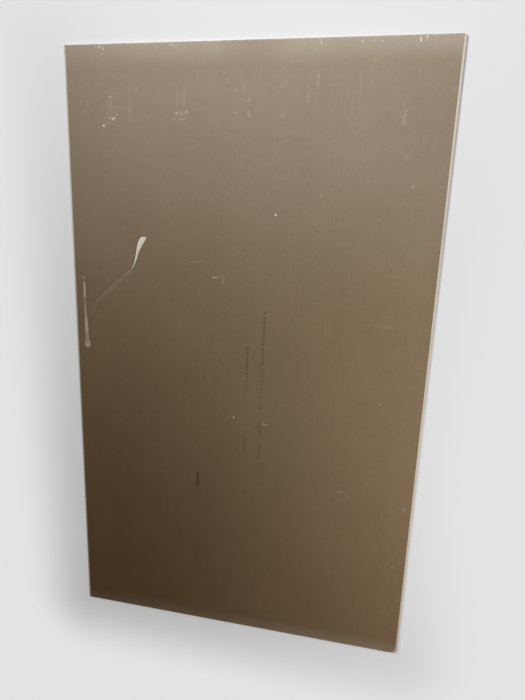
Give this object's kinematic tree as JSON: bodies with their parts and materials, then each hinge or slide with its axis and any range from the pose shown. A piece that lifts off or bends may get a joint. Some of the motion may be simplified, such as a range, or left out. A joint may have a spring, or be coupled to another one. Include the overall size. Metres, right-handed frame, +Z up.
{
  "type": "drywall sheet",
  "caption": "Full drywall sheet lying on its face: gypsum core, ivory face paper wrapped round tapered long edges, brown back paper up.",
  "frame": {"origin": "on the floor, under the middle of the sheet as it lies on its face", "axes": "+X across the width, +Y along the length, +Z up out of the brown back; the upper end in the picture is at +Y"},
  "size_m": [1.2, 2, 0.0125],
  "materials": {
    "gypsum": "matt foamed gypsum",
    "face_paper": "smooth ivory paper",
    "back_paper": "matt brown-grey recycled paper"
  },
  "bodies": {
    "root": {"gypsum_core": "gypsum", "face_paper": "face_paper", "back_paper": "back_paper"}
  },
  "joints": []
}
